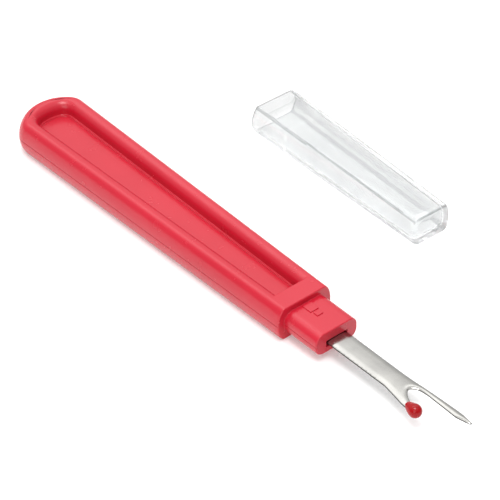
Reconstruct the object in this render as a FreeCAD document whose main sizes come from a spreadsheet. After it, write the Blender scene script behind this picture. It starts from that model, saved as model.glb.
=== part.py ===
"""Seam ripper with its loose clear cap, lying on a table.

Frame, in millimetres: +X runs along the tool from the handle to the blade's tip, +Z is up and
+Y completes the hand. The origin is on the table plane, under the middle of the flat land
between the finger recess and the handle's front shoulder.

The tool is symmetric about its parting plane, half the handle's thickness above the table.
The handle, the blade and the bead are made about that plane and then lifted on to the table.
The cap is made about its own axis, with its mouth at zero, and then laid beside the handle.
"""
import FreeCAD, Part
import math
import os
import Sketcher
from FreeCAD import Placement, Rotation, Vector

# Driving dimensions: alias, value in millimetres (angles in degrees), and what it measures.
DIMENSIONS = (
    ("front_x", 2.4, "origin to the handle's front shoulder"),
    ("handle_length", 91.05, "front shoulder to the handle's rear end"),
    ("front_half_width", 7.37, "half the handle's width at the shoulder, on the parting plane"),
    ("front_trim", 1.0, "drafted front edge that is trimmed to leave the shoulder upright"),
    ("side_angle", 1.0, "angle of each side to the centre line"),
    ("rear_corner_radius", 4.6, "plan radius where a side turns into the rear end"),
    ("rear_end_radius", 10.4, "plan radius of the rear end"),
    ("half_thickness", 4.15, "parting plane to the top or the bottom of the handle"),
    ("draft_angle", 5.5, "draft of each mould half"),
    ("edge_radius", 1.85, "outer rounding of the handle's long edges"),
    ("land_length", 4.8, "flat land between the recess and the shoulder"),
    ("rim_width", 4.35, "parting line to the recess wall along the sides"),
    ("rim_end_width", 4.55, "parting line to the recess wall at the rear end"),
    ("recess_corner_radius", 2.9, "plan radius of the recess at its rear corners"),
    ("recess_end_radius", 9.0, "plan radius of the recess at its rear end"),
    ("recess_depth", 3.0, "land to the ledge around the recess floor"),
    ("rim_radius", 2.05, "inner rounding of the rim, down to the recess wall"),
    ("ledge_width", 0.45, "ledge around the recess floor"),
    ("floor_step", 0.2, "ledge to the recess floor"),
    ("neck_length", 9.95, "front shoulder to the neck's face"),
    ("neck_half_width", 5.68, "half the neck's width"),
    ("neck_half_height", 2.7, "half the neck's height"),
    ("neck_corner_radius", 2.2, "corner radius of the neck's section"),
    ("pad_height", 0.2, "height of the two grip pads on the neck"),
    ("pad_half_width", 1.15, "half the width of the grip pads"),
    ("pad_start", 0.3, "shoulder to the long grip pad"),
    ("pad_length", 2.8, "length of the long grip pad"),
    ("small_pad_start", 3.5, "shoulder to the short grip pad"),
    ("small_pad_length", 1.35, "length of the short grip pad"),
    ("slot_half_width", 2.95, "half the width of the slot in the neck's face"),
    ("slot_half_height", 0.85, "half the height of that slot"),
    ("slot_drop", 0.4, "middle of that slot below the parting plane"),
    ("slot_depth", 2.5, "depth of that slot"),
    ("tang_length", 12.5, "length of blade held inside the neck and the land"),
    ("tang_hole_radius", 1.0, "hole that locks the tang in the moulding"),
    ("tang_hole_inset", 3.5, "tang's end to that hole's middle"),
    ("blade_half_width", 2.66, "half the blade's width"),
    ("blade_gauge", 0.4, "thickness of the blade's sheet"),
    ("blade_bend_radius", 9.0, "radius of the arch across the blade, on its underside"),
    ("blade_crown", 0.1, "underside of the blade's crown below the parting plane"),
    ("blade_blank_half_width", 4.4, "half the width of the strip the blade is stamped from"),
    ("blade_reach", 37.0, "neck's face to the long prong's tip"),
    ("bead_radius", 1.5, "ball on the short prong"),
    ("bead_tail_length", 2.5, "ball's middle to the end of its tail"),
    ("bead_tail_radius", 0.95, "radius of the end of that tail"),
    ("bead_reach", 26.82, "neck's face to the ball's middle"),
    ("bead_offset", 3.04, "centre line to the ball's middle, towards -Y"),
    ("bead_drop", 0.25, "ball's middle below the parting plane"),
    ("bead_angle", 6.5, "turn of the ball's tail away from the centre line"),
    ("cap_x", -54.88, "cap's mouth, at its middle"),
    ("cap_y", 41.6, "cap's mouth, at its middle"),
    ("cap_angle", 1.45, "turn of the cap towards the tool"),
    ("cap_length", 53.4, "mouth to the cap's closed end"),
    ("cap_half_height", 3.73, "half the cap's height"),
    ("mouth_half_width", 6.68, "half the cap's width at its mouth"),
    ("mouth_corner_radius", 3.2, "corner radius of the cap at its mouth"),
    ("end_half_width", 5.15, "half the cap's width at its closed end"),
    ("end_corner_radius", 1.8, "corner radius of the cap at its closed end"),
    ("lead_in_depth", 4.8, "wider stretch of the cavity, from the mouth"),
    ("lead_in_half_width", 5.9, "half its width"),
    ("lead_in_half_height", 2.98, "half its height"),
    ("lead_in_corner_radius", 2.4, "its corner radius"),
    ("grip_depth", 10.3, "mouth to the cap's inner shelf"),
    ("grip_half_width", 5.73, "half the width of the stretch that grips the neck"),
    ("grip_half_height", 2.88, "half its height"),
    ("grip_corner_radius", 2.25, "its corner radius"),
    ("bore_half_width", 5.45, "half the cavity's width beyond the shelf"),
    ("bore_half_height", 2.7, "half its height"),
    ("bore_corner_radius", 2.0, "its corner radius"),
    ("bore_depth", 52.2, "mouth to the cavity's end"),
    ("bore_end_half_width", 4.3, "half the cavity's width at its end"),
    ("bore_end_corner_radius", 1.1, "its corner radius there"),
    ("gate_radius", 1.1, "shallow gate mark on the closed end"),
    ("gate_depth", 0.15, "depth of that mark"),
    ("gate_offset", 1.1, "cap's centre line to that mark"),
    ("gate_drop", 1.0, "cap's mid height down to that mark"),
)
SIZE = {alias: value for alias, value, note in DIMENSIONS}

# Half-width of the recess at its front wall, as an expression of the sheet.
RECESS_FRONT = "dims.front_half_width + dims.land_length * tan(dims.side_angle) - dims.rim_width"

# Plan of the fork, in millimetres in front of the neck's face and from the centre line. Each
# stretch is a smooth curve through its points, and the next one starts where it ends.
FORK_ROOT = 17.5
ROOT_HALF_WIDTH = SIZE["blade_half_width"]
TIP = (SIZE["blade_reach"], 2.95)
NOTCH = (33.6, 1.72)
SHORT_PRONG_END = ((27.4, -2.85), (27.3, -3.4))
FORK = (
    ((FORK_ROOT, -ROOT_HALF_WIDTH), (FORK_ROOT, ROOT_HALF_WIDTH)),
    ((FORK_ROOT, ROOT_HALF_WIDTH), (20.5, 2.72), (24.7, 3.0), (31.0, 3.17), TIP),
    (TIP, (36.9, 2.6), (36.2, 2.3), NOTCH),
    (NOTCH, (29.0, 1.87), (25.0, 1.95), (22.7, 1.55), (21.5, 0.3), (22.4, -0.95), (24.2, -2.05)),
    ((24.2, -2.05), (26.0, -2.6), SHORT_PRONG_END[0]),
    SHORT_PRONG_END,
    (SHORT_PRONG_END[1], (24.4, -3.88), (21.2, -3.35), (FORK_ROOT, -ROOT_HALF_WIDTH)),
)


def make_sheet(doc):
    """The spreadsheet that holds every driving dimension as a plain number."""
    sheet = doc.addObject("Spreadsheet::Sheet", "dims")
    for row, (alias, value, note) in enumerate(DIMENSIONS, start=1):
        sheet.set("A%d" % row, note)
        sheet.set("B%d" % row, str(value))
        sheet.setAlias("B%d" % row, alias)
    doc.recompute()
    return sheet


def make_body(doc, name, label=None):
    """A part design body whose own origin planes carry its sketches."""
    body = doc.addObject("PartDesign::Body", name)
    body.Label = label or name
    return body


def origin_feature(body, role):
    """The plane or axis of a body's origin with the given role."""
    return [feature for feature in body.Origin.OriginFeatures if feature.Role == role][0]


def add_sketch(body, name, role, offset="0"):
    """A sketch on an origin plane, moved along the plane's normal by an expression."""
    sketch = body.newObject("Sketcher::SketchObject", name)
    sketch.AttachmentSupport = [(origin_feature(body, role), "")]
    sketch.MapMode = "FlatFace"
    sketch.setExpression("AttachmentOffset.Base.z", offset)
    return sketch


def bind(sketch, name, constraint, expression):
    """Add a dimension to a sketch and drive it from the sheet."""
    index = sketch.addConstraint(constraint)
    sketch.renameConstraint(index, name)
    sketch.setExpression("Constraints." + name, expression)


def add_rectangle(sketch, lengthwise, across):
    """A rectangle between two pairs of expressions; its sides follow the sketch's axes."""
    corners = (Vector(1, 1, 0), Vector(2, 1, 0), Vector(2, 2, 0), Vector(1, 2, 0))
    first = sketch.GeometryCount
    for index, corner in enumerate(corners):
        sketch.addGeometry(Part.LineSegment(corner, corners[(index + 1) % len(corners)]))
    for index in range(len(corners)):
        following = (index + 1) % len(corners)
        sketch.addConstraint(Sketcher.Constraint("Coincident", first + index, 2, first + following, 1))
        direction = "Horizontal" if index % 2 == 0 else "Vertical"
        sketch.addConstraint(Sketcher.Constraint(direction, first + index))
    low, high = first, first + 2
    bind(sketch, "start_%d" % first, Sketcher.Constraint("DistanceX", -1, 1, low, 1, 1.0), lengthwise[0])
    bind(sketch, "stop_%d" % first, Sketcher.Constraint("DistanceX", -1, 1, high, 1, 2.0), lengthwise[1])
    bind(sketch, "low_%d" % first, Sketcher.Constraint("DistanceY", -1, 1, low, 1, 1.0), across[0])
    bind(sketch, "high_%d" % first, Sketcher.Constraint("DistanceY", -1, 1, high, 1, 2.0), across[1])


def add_grip_outline(sketch, front, half_width, rear, corner_radius, end_radius):
    """A straight front edge, two tapering sides, two rear corners and a rounded rear end.

    front and rear are places along X, half_width is at the front edge, all as expressions.
    """
    line, arc, circle = Part.LineSegment, Part.ArcOfCircle, Part.Circle
    up = Vector(0, 0, 1)
    sketch.addGeometry(line(Vector(0, -7, 0), Vector(0, 7, 0)))
    sketch.addGeometry(line(Vector(0, 7, 0), Vector(-83, 8.5, 0)))
    sketch.addGeometry(arc(circle(Vector(-83, 4, 0), up, 4.5), math.pi / 2, math.pi * 0.88))
    sketch.addGeometry(arc(circle(Vector(-78, 0, 0), up, 10), math.pi * 0.88, math.pi * 1.12))
    sketch.addGeometry(arc(circle(Vector(-83, -4, 0), up, 4.5), math.pi * 1.12, math.pi * 1.5))
    sketch.addGeometry(line(Vector(-83, -8.5, 0), Vector(0, -7, 0)))
    sketch.addConstraint([
        Sketcher.Constraint("Coincident", 0, 2, 1, 1),
        Sketcher.Constraint("Coincident", 5, 2, 0, 1),
        Sketcher.Constraint("Tangent", 1, 2, 2, 1),
        Sketcher.Constraint("Tangent", 2, 2, 3, 1),
        Sketcher.Constraint("Tangent", 3, 2, 4, 1),
        Sketcher.Constraint("Tangent", 4, 2, 5, 1),
        Sketcher.Constraint("Symmetric", 0, 1, 0, 2, -1),
        Sketcher.Constraint("Symmetric", 2, 3, 4, 3, -1),
        Sketcher.Constraint("Equal", 2, 4),
    ])
    bind(sketch, "front", Sketcher.Constraint("DistanceX", -1, 1, 0, 1, 1.0), front)
    bind(sketch, "front_half", Sketcher.Constraint("DistanceY", -1, 1, 0, 2, 7.0), half_width)
    bind(sketch, "corner", Sketcher.Constraint("Radius", 2, 4.5), corner_radius)
    bind(sketch, "end", Sketcher.Constraint("Radius", 3, 10.0), end_radius)
    bind(sketch, "end_middle", Sketcher.Constraint("DistanceX", -1, 1, 3, 3, -78.0),
         "%s + %s" % (rear, end_radius))
    bind(sketch, "taper", Sketcher.Constraint("Angle", 1, 2, -1, 1, math.radians(1)),
         "dims.side_angle * 1 deg")


def add_rounded_section(sketch, half_width, half_height, radius, middle="0"):
    """A rectangle with four round corners about a middle, in a sketch across X."""
    up = Vector(0, 0, 1)
    quarter = math.pi / 2
    corners = ((1, 1), (-1, 1), (-1, -1), (1, -1))
    for turn, (side, level) in enumerate(corners):
        start = Vector(2 * side, 2 * level, 0)
        circle = Part.Circle(start, up, 1)
        sketch.addGeometry(Part.ArcOfCircle(circle, turn * quarter, (turn + 1) * quarter))
    edges = (((2, 3), (-2, 3)), ((-3, 2), (-3, -2)), ((-2, -3), (2, -3)), ((3, -2), (3, 2)))
    for (x1, y1), (x2, y2) in edges:
        sketch.addGeometry(Part.LineSegment(Vector(x1, y1, 0), Vector(x2, y2, 0)))
    for turn in range(4):
        following = (turn + 1) % 4
        sketch.addConstraint(Sketcher.Constraint("Tangent", turn, 2, 4 + turn, 1))
        sketch.addConstraint(Sketcher.Constraint("Tangent", 4 + turn, 2, following, 1))
        direction = "Horizontal" if turn % 2 == 0 else "Vertical"
        sketch.addConstraint(Sketcher.Constraint(direction, 4 + turn))
    for turn in range(1, 4):
        sketch.addConstraint(Sketcher.Constraint("Equal", 0, turn))
    bind(sketch, "radius", Sketcher.Constraint("Radius", 0, 1.0), radius)
    bind(sketch, "right", Sketcher.Constraint("DistanceX", -1, 1, 7, 1, 3.0),
         "%s + %s" % (middle, half_width))
    bind(sketch, "left", Sketcher.Constraint("DistanceX", -1, 1, 5, 1, -3.0),
         "%s - %s" % (middle, half_width))
    bind(sketch, "top", Sketcher.Constraint("DistanceY", -1, 1, 4, 1, 3.0), half_height)
    bind(sketch, "bottom", Sketcher.Constraint("DistanceY", -1, 1, 6, 1, -3.0), "-" + half_height)


def add_pad(body, name, sketch, length, reverse=False):
    """Extrude a sketch."""
    pad = body.newObject("PartDesign::Pad", name)
    pad.Profile = sketch
    pad.Reversed = reverse
    pad.setExpression("Length", length)
    return pad


def add_pocket(body, name, sketch, depth, reverse=False):
    """Cut a sketch to a depth; it must take material away."""
    body.Document.recompute()
    before = body.Shape.Volume
    pocket = body.newObject("PartDesign::Pocket", name)
    pocket.Profile = sketch
    pocket.Reversed = reverse
    pocket.setExpression("Length", depth)
    body.Document.recompute()
    if body.Shape.Volume >= before:
        raise ValueError("%s cuts nothing" % name)
    return pocket


def add_fillet(body, name, base, radius, wanted):
    """Round the edges of a feature that a test picks."""
    body.Document.recompute()
    edges = ["Edge%d" % number for number, edge in enumerate(base.Shape.Edges, start=1) if wanted(edge)]
    if not edges:
        raise ValueError("%s finds no edge" % name)
    fillet = body.newObject("PartDesign::Fillet", name)
    fillet.Base = (base, edges)
    fillet.setExpression("Radius", radius)
    return fillet


def lies_flat_at(edge, level):
    """True for an edge that lies wholly at one height."""
    box = edge.BoundBox
    return abs(box.ZMin - level) < 1e-4 and abs(box.ZMax - level) < 1e-4


def lies_across_at(edge, place):
    """True for an edge that lies wholly at one place along X."""
    box = edge.BoundBox
    return abs(box.XMin - place) < 1e-4 and abs(box.XMax - place) < 1e-4


def make_handle_moulding(doc):
    """The handle and its neck as one moulding, still solid where the tang will be."""
    body = make_body(doc, "moulding")
    outline = add_sketch(body, "grip_outline", "XY_Plane")
    add_grip_outline(outline, "dims.front_x + dims.front_trim",
                     "dims.front_half_width - dims.front_trim * tan(dims.side_angle)",
                     "dims.front_x - dims.handle_length", "dims.rear_corner_radius",
                     "dims.rear_end_radius")
    half = add_pad(body, "upper_half", outline, "dims.half_thickness")
    half.setExpression("TaperAngle", "-dims.draft_angle")

    trim = add_sketch(body, "trim_outline", "XY_Plane")
    add_rectangle(trim, ("dims.front_x", "dims.front_x + 2 * dims.front_trim"),
                  ("-2 * dims.front_half_width", "2 * dims.front_half_width"))
    shoulder = add_pocket(body, "shoulder", trim, "2 * dims.half_thickness", reverse=True)

    top = SIZE["half_thickness"]
    front = SIZE["front_x"]
    add_fillet(body, "outer_rounding", shoulder, "dims.edge_radius",
               lambda edge: lies_flat_at(edge, top) and not lies_across_at(edge, front))

    recess = add_sketch(body, "recess_outline", "XY_Plane", "dims.half_thickness")
    add_grip_outline(recess, "dims.front_x - dims.land_length", RECESS_FRONT,
                     "dims.front_x - dims.handle_length + dims.rim_end_width",
                     "dims.recess_corner_radius", "dims.recess_end_radius")
    cut = add_pocket(body, "recess", recess, "dims.recess_depth")
    recess_wall = front - SIZE["land_length"]
    inner = SIZE["front_half_width"] - SIZE["edge_radius"]
    recess_end = front - SIZE["handle_length"] + SIZE["rim_end_width"]
    add_fillet(body, "inner_rounding", cut, "dims.rim_radius",
               lambda edge: (lies_flat_at(edge, top)
                             and not lies_across_at(edge, recess_wall)
                             and edge.BoundBox.XMax < recess_wall + 0.01
                             and edge.BoundBox.XMin > recess_end - 0.01
                             and abs(edge.CenterOfMass.y) < inner))

    floor = add_sketch(body, "floor_outline", "XY_Plane", "dims.half_thickness - dims.recess_depth")
    add_grip_outline(floor, "dims.front_x - dims.land_length - dims.ledge_width",
                     RECESS_FRONT + " - dims.ledge_width",
                     "dims.front_x - dims.handle_length + dims.rim_end_width + dims.ledge_width",
                     "dims.recess_corner_radius - dims.ledge_width",
                     "dims.recess_end_radius - dims.ledge_width")
    add_pocket(body, "floor", floor, "dims.floor_step")

    mirror = body.newObject("PartDesign::Mirrored", "lower_half")
    mirror.TransformMode = "Whole shape"
    mirror.MirrorPlane = (origin_feature(body, "XY_Plane"), [""])
    body.Tip = mirror
    doc.recompute()
    add_neck(body)
    body.setExpression("Placement.Base.z", "dims.half_thickness")
    return body


def add_neck(body):
    """The plug in front of the shoulder, with its grip pads and the slot in its face."""
    section = add_sketch(body, "neck_section", "YZ_Plane", "dims.front_x")
    add_rounded_section(section, "dims.neck_half_width", "dims.neck_half_height",
                        "dims.neck_corner_radius")
    add_pad(body, "neck", section, "dims.neck_length")

    pads = add_sketch(body, "pad_outlines", "XY_Plane", "dims.neck_half_height")
    pads_across = ("-dims.pad_half_width", "dims.pad_half_width")
    for start, length in (("pad_start", "pad_length"), ("small_pad_start", "small_pad_length")):
        near = "dims.front_x + dims.%s" % start
        add_rectangle(pads, (near, "%s + dims.%s" % (near, length)), pads_across)
    add_pad(body, "grip_pads", pads, "dims.pad_height")

    slot = add_sketch(body, "slot_outline", "YZ_Plane", "dims.front_x + dims.neck_length")
    add_rectangle(slot, ("-dims.slot_half_width", "dims.slot_half_width"),
                  ("-dims.slot_drop - dims.slot_half_height", "-dims.slot_drop + dims.slot_half_height"))
    add_pocket(body, "slot", slot, "dims.slot_depth")


def add_arch(sketch):
    """Section of the blade's strip: two arcs about one middle, joined by upright ends."""
    up = Vector(0, 0, 1)
    middle = Vector(0, -9, 0)
    reach = 0.5
    arcs = [Part.ArcOfCircle(Part.Circle(middle, up, radius), math.pi / 2 - reach, math.pi / 2 + reach)
            for radius in (9.0, 9.4)]
    for arc in arcs:
        sketch.addGeometry(arc)
    lower, upper = arcs
    sketch.addGeometry(Part.LineSegment(lower.StartPoint, upper.StartPoint))
    sketch.addGeometry(Part.LineSegment(lower.EndPoint, upper.EndPoint))
    sketch.addConstraint([
        Sketcher.Constraint("Coincident", 0, 3, 1, 3),
        Sketcher.Constraint("PointOnObject", 0, 3, -2),
        Sketcher.Constraint("Coincident", 0, 1, 2, 1),
        Sketcher.Constraint("Coincident", 2, 2, 1, 1),
        Sketcher.Constraint("Coincident", 0, 2, 3, 1),
        Sketcher.Constraint("Coincident", 3, 2, 1, 2),
        Sketcher.Constraint("Vertical", 2),
        Sketcher.Constraint("Vertical", 3),
    ])
    bind(sketch, "bend", Sketcher.Constraint("Radius", 0, 9.0), "dims.blade_bend_radius")
    bind(sketch, "outer_bend", Sketcher.Constraint("Radius", 1, 9.4),
         "dims.blade_bend_radius + dims.blade_gauge")
    bind(sketch, "crown", Sketcher.Constraint("DistanceY", -1, 1, 0, 3, -9.0),
         "-dims.blade_crown - dims.blade_bend_radius")
    bind(sketch, "right", Sketcher.Constraint("DistanceX", -1, 1, 2, 1, 4.0),
         "dims.blade_blank_half_width")
    bind(sketch, "left", Sketcher.Constraint("DistanceX", -1, 1, 3, 1, -4.0),
         "-dims.blade_blank_half_width")


def add_fork_outline(sketch):
    """The fork's closed outline, with one smooth curve for each stretch."""
    for stretch in FORK:
        points = [Vector(ahead, across, 0) for ahead, across in stretch]
        if len(points) == 2:
            curve = Part.LineSegment(*points)
        else:
            curve = Part.BSplineCurve()
            curve.interpolate(points)
        index = sketch.addGeometry(curve)
        sketch.addConstraint(Sketcher.Constraint("Block", index))


def make_strip(doc):
    """The arched strip of sheet that the blade is stamped from."""
    body = make_body(doc, "strip")
    section = add_sketch(body, "arch", "YZ_Plane", "dims.front_x + dims.neck_length + dims.blade_reach + 1")
    add_arch(section)
    add_pad(body, "strip_length", section, "dims.tang_length + dims.blade_reach + 2", reverse=True)
    body.setExpression("Placement.Base.z", "dims.half_thickness")
    return body


def make_plan(doc):
    """The blade's plan as an upright prism: tang, stem and fork, with the tang's locking hole."""
    body = make_body(doc, "plan")
    stem = add_sketch(body, "stem_outline", "XY_Plane")
    add_rectangle(stem, ("-dims.tang_length", str(FORK_ROOT)),
                  ("-dims.blade_half_width", "dims.blade_half_width"))
    add_pad(body, "stem", stem, "2 * dims.half_thickness")
    fork = add_sketch(body, "fork_outline", "XY_Plane")
    add_fork_outline(fork)
    add_pad(body, "fork", fork, "2 * dims.half_thickness")
    hole = add_sketch(body, "tang_hole_outline", "XY_Plane")
    hole.addGeometry(Part.Circle(Vector(-9, 0, 0), Vector(0, 0, 1), 1.0))
    hole.addConstraint(Sketcher.Constraint("PointOnObject", 0, 3, -1))
    bind(hole, "radius", Sketcher.Constraint("Radius", 0, 1.0), "dims.tang_hole_radius")
    bind(hole, "middle", Sketcher.Constraint("DistanceX", -1, 1, 0, 3, -9.0),
         "-dims.tang_length + dims.tang_hole_inset")
    add_pocket(body, "tang_hole", hole, "2 * dims.half_thickness", reverse=True)
    body.setExpression("Placement.Base.x", "dims.front_x + dims.neck_length")
    return body


def make_blade(doc):
    """The blade: the part of the arched strip that lies inside the plan."""
    blade = doc.addObject("Part::Common", "blade_stamping")
    blade.Base = make_strip(doc)
    blade.Tool = make_plan(doc)
    blade.Label = "blade"
    return blade


def moulded_round(doc, label, moulding, insert):
    """A moulding with the exact hollow that its insert fills."""
    cut = doc.addObject("Part::Cut", label + "_round_" + insert.Label)
    cut.Base = moulding
    cut.Tool = insert
    cut.Label = label
    return cut


def make_drop(doc):
    """The bead before the prong is taken from it: a ball with a tapering tail."""
    body = make_body(doc, "drop")
    profile = add_sketch(body, "drop_profile", "XY_Plane")
    up = Vector(0, 0, 1)
    profile.addGeometry(Part.ArcOfCircle(Part.Circle(Vector(0, 0, 0), up, 1.5), 0, math.pi * 0.55))
    profile.addGeometry(Part.LineSegment(Vector(-0.2, 1.5, 0), Vector(-2.5, 1, 0)))
    profile.addGeometry(Part.LineSegment(Vector(-2.5, 1, 0), Vector(-2.5, 0, 0)))
    profile.addGeometry(Part.LineSegment(Vector(-2.5, 0, 0), Vector(1.5, 0, 0)))
    profile.addConstraint([
        Sketcher.Constraint("Coincident", 0, 3, -1, 1),
        Sketcher.Constraint("Tangent", 0, 2, 1, 1),
        Sketcher.Constraint("Coincident", 1, 2, 2, 1),
        Sketcher.Constraint("Coincident", 2, 2, 3, 1),
        Sketcher.Constraint("Coincident", 3, 2, 0, 1),
        Sketcher.Constraint("Vertical", 2),
        Sketcher.Constraint("PointOnObject", 2, 2, -1),
        Sketcher.Constraint("PointOnObject", 0, 1, -1),
    ])
    bind(profile, "ball", Sketcher.Constraint("Radius", 0, 1.5), "dims.bead_radius")
    bind(profile, "tail", Sketcher.Constraint("DistanceX", -1, 1, 2, 1, -2.5), "-dims.bead_tail_length")
    bind(profile, "tail_end", Sketcher.Constraint("DistanceY", 2, 2, 2, 1, 1.0), "dims.bead_tail_radius")
    turned = body.newObject("PartDesign::Revolution", "turned")
    turned.Profile = profile
    turned.ReferenceAxis = (origin_feature(body, "X_Axis"), [""])
    turned.Angle = 360
    body.Placement = Placement(Vector(0, 0, 0), Rotation(Vector(0, 0, 1), 0))
    body.setExpression("Placement.Base.x", "dims.front_x + dims.neck_length + dims.bead_reach")
    body.setExpression("Placement.Base.y", "-dims.bead_offset")
    body.setExpression("Placement.Base.z", "dims.half_thickness - dims.bead_drop")
    body.setExpression("Placement.Rotation.Angle", "-dims.bead_angle")
    return body


def add_loft(body, kind, name, first, last):
    """Join two sections, as material or as a hollow."""
    loft = body.newObject("PartDesign::%sLoft" % kind, name)
    loft.Profile = first
    loft.Sections = [last]
    loft.Ruled = True
    return loft


def make_cap(doc):
    """The clear cap: a tapering shell with a stepped cavity, open at its mouth."""
    body = make_body(doc, "clear_cap", "cap")
    mouth = add_sketch(body, "mouth", "YZ_Plane")
    add_rounded_section(mouth, "dims.mouth_half_width", "dims.cap_half_height", "dims.mouth_corner_radius")
    end = add_sketch(body, "closed_end", "YZ_Plane", "dims.cap_length")
    add_rounded_section(end, "dims.end_half_width", "dims.cap_half_height", "dims.end_corner_radius")
    add_loft(body, "Additive", "outside", mouth, end)
    doc.recompute()

    bore = add_sketch(body, "bore", "YZ_Plane")
    add_rounded_section(bore, "dims.bore_half_width", "dims.bore_half_height", "dims.bore_corner_radius")
    bore_end = add_sketch(body, "bore_end", "YZ_Plane", "dims.bore_depth")
    add_rounded_section(bore_end, "dims.bore_end_half_width", "dims.bore_half_height",
                        "dims.bore_end_corner_radius")
    add_loft(body, "Subtractive", "inside", bore, bore_end)

    for stretch in ("grip", "lead_in"):
        section = add_sketch(body, stretch + "_section", "YZ_Plane")
        add_rounded_section(section, "dims.%s_half_width" % stretch, "dims.%s_half_height" % stretch,
                            "dims.%s_corner_radius" % stretch)
        add_pocket(body, stretch, section, "dims.%s_depth" % stretch, reverse=True)

    gate = add_sketch(body, "gate_outline", "YZ_Plane", "dims.cap_length")
    gate.addGeometry(Part.Circle(Vector(1, -1, 0), Vector(0, 0, 1), 1.0))
    bind(gate, "radius", Sketcher.Constraint("Radius", 0, 1.0), "dims.gate_radius")
    bind(gate, "across", Sketcher.Constraint("DistanceX", -1, 1, 0, 3, 1.0), "dims.gate_offset")
    bind(gate, "down", Sketcher.Constraint("DistanceY", -1, 1, 0, 3, -1.0), "-dims.gate_drop")
    add_pocket(body, "gate", gate, "dims.gate_depth")

    body.Placement = Placement(Vector(0, 0, 0), Rotation(Vector(0, 0, 1), 0))
    body.setExpression("Placement.Base.x", "dims.cap_x")
    body.setExpression("Placement.Base.y", "dims.cap_y")
    body.setExpression("Placement.Base.z", "dims.cap_half_height")
    body.setExpression("Placement.Rotation.Angle", "-dims.cap_angle")
    return body


def check_and_export(doc, parts):
    """Stop on any broken object, then write one STEP file for each sub-part."""
    for item in doc.Objects:
        if "Invalid" in item.State or "Error" in item.State:
            raise ValueError("%s is %s" % (item.Name, item.State))
    for part in parts:
        if part.Shape.isNull() or not part.Shape.isValid() or len(part.Shape.Solids) != 1:
            raise ValueError("%s is not one valid solid" % part.Label)
        part.Shape.exportStep("parts/%s.step" % part.Label)


def main():
    """Build the four sub-parts and write them."""
    os.makedirs("parts", exist_ok=True)
    doc = FreeCAD.newDocument("seam_ripper")
    make_sheet(doc)
    blade = make_blade(doc)
    handle = moulded_round(doc, "handle", make_handle_moulding(doc), blade)
    bead = moulded_round(doc, "bead", make_drop(doc), blade)
    cap = make_cap(doc)
    doc.recompute()
    check_and_export(doc, (handle, blade, bead, cap))


main()
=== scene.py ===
"""Looks of the seam ripper and its clear cap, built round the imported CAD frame.

Sizes here are in millimetres and become metres when a mesh is made. The tool's own meshes are
built about its parting plane and the cap's about its own axis, and both are then put in place.
"""
import math

import bmesh
import bpy
from mathutils import Matrix, Vector, noise
from mathutils.geometry import delaunay_2d_cdt


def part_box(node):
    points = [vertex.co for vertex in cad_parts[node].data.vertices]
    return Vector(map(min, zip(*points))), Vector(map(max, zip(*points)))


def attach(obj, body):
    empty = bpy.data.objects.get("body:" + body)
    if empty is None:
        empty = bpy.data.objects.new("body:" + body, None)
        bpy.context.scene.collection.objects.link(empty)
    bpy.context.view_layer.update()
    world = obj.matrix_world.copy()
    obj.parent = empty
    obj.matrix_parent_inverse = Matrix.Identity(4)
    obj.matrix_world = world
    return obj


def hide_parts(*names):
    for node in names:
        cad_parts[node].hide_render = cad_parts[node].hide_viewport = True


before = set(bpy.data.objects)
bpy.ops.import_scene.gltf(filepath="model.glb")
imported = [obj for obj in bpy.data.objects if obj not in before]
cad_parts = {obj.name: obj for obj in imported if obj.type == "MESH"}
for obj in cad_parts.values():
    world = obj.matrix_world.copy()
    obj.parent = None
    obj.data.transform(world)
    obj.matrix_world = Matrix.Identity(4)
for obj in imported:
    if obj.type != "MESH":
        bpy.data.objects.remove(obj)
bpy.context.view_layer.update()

MM = 0.001

# The grip: its ends come from the CAD frame, and its other sizes follow the CAD's closely.
HANDLE_LOW, HANDLE_HIGH = (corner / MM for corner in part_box("handle"))
HALF_THICKNESS = (HANDLE_HIGH.z - HANDLE_LOW.z) / 2
NECK_LENGTH = 9.95
NECK_FACE = HANDLE_HIGH.x
FRONT = NECK_FACE - NECK_LENGTH
REAR = HANDLE_LOW.x
FRONT_HALF_WIDTH = 7.37
SIDE_SLOPE = math.tan(math.radians(1.0))
SIDE_BULGE = 2.1
REAR_CORNER_RADIUS = 4.6
REAR_END_RADIUS = 10.4
SHOULDER_RADIUS = 0.3
LAND_LENGTH = 4.8
RIM_WIDTH = 4.35
RIM_END_WIDTH = 4.55
RIM_RADIUS = 2.05
RECESS_CORNER_RADIUS = 2.9
RECESS_END_RADIUS = 9.0
RECESS_FRONT_EDGE = 0.35
RECESS_FRONT_CORNER = 0.45
RECESS_DEPTH = 3.0
LEDGE_WIDTH = 0.45
FLOOR_STEP = 0.22
# The small roundings at the foot of the recess wall and on the ledge.
WALL_FOOT_RADIUS = 0.15
LEDGE_RADIUS = 0.06
# Depth of the groove along the parting line, and the heights of its floor and of its upper lip.
PARTING_GROOVE = 0.13
GROOVE_FLOOR = 0.03
GROOVE_LIP = 0.11
GROOVE_LIP_INSET = 0.01


def new_object(name, vertices, faces):
    """A mesh object from vertices in millimetres."""
    mesh = bpy.data.meshes.new(name)
    mesh.from_pydata([Vector(v) * MM for v in vertices], [], faces)
    mesh.validate()
    piece = bpy.data.objects.new(name, mesh)
    bpy.context.scene.collection.objects.link(piece)
    return piece


def skin(rings, close_start=False, close_end=False):
    """Vertices and faces of a surface through closed rings that all have the same point count."""
    count = len(rings[0])
    vertices = [point for ring in rings for point in ring]
    faces = []
    for level in range(len(rings) - 1):
        for step in range(count):
            a = level * count + step
            b = level * count + (step + 1) % count
            faces.append((a, b, b + count, a + count))
    if close_start:
        faces.append(tuple(reversed(range(count))))
    if close_end:
        start = (len(rings) - 1) * count
        faces.append(tuple(range(start, start + count)))
    return vertices, faces


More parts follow.
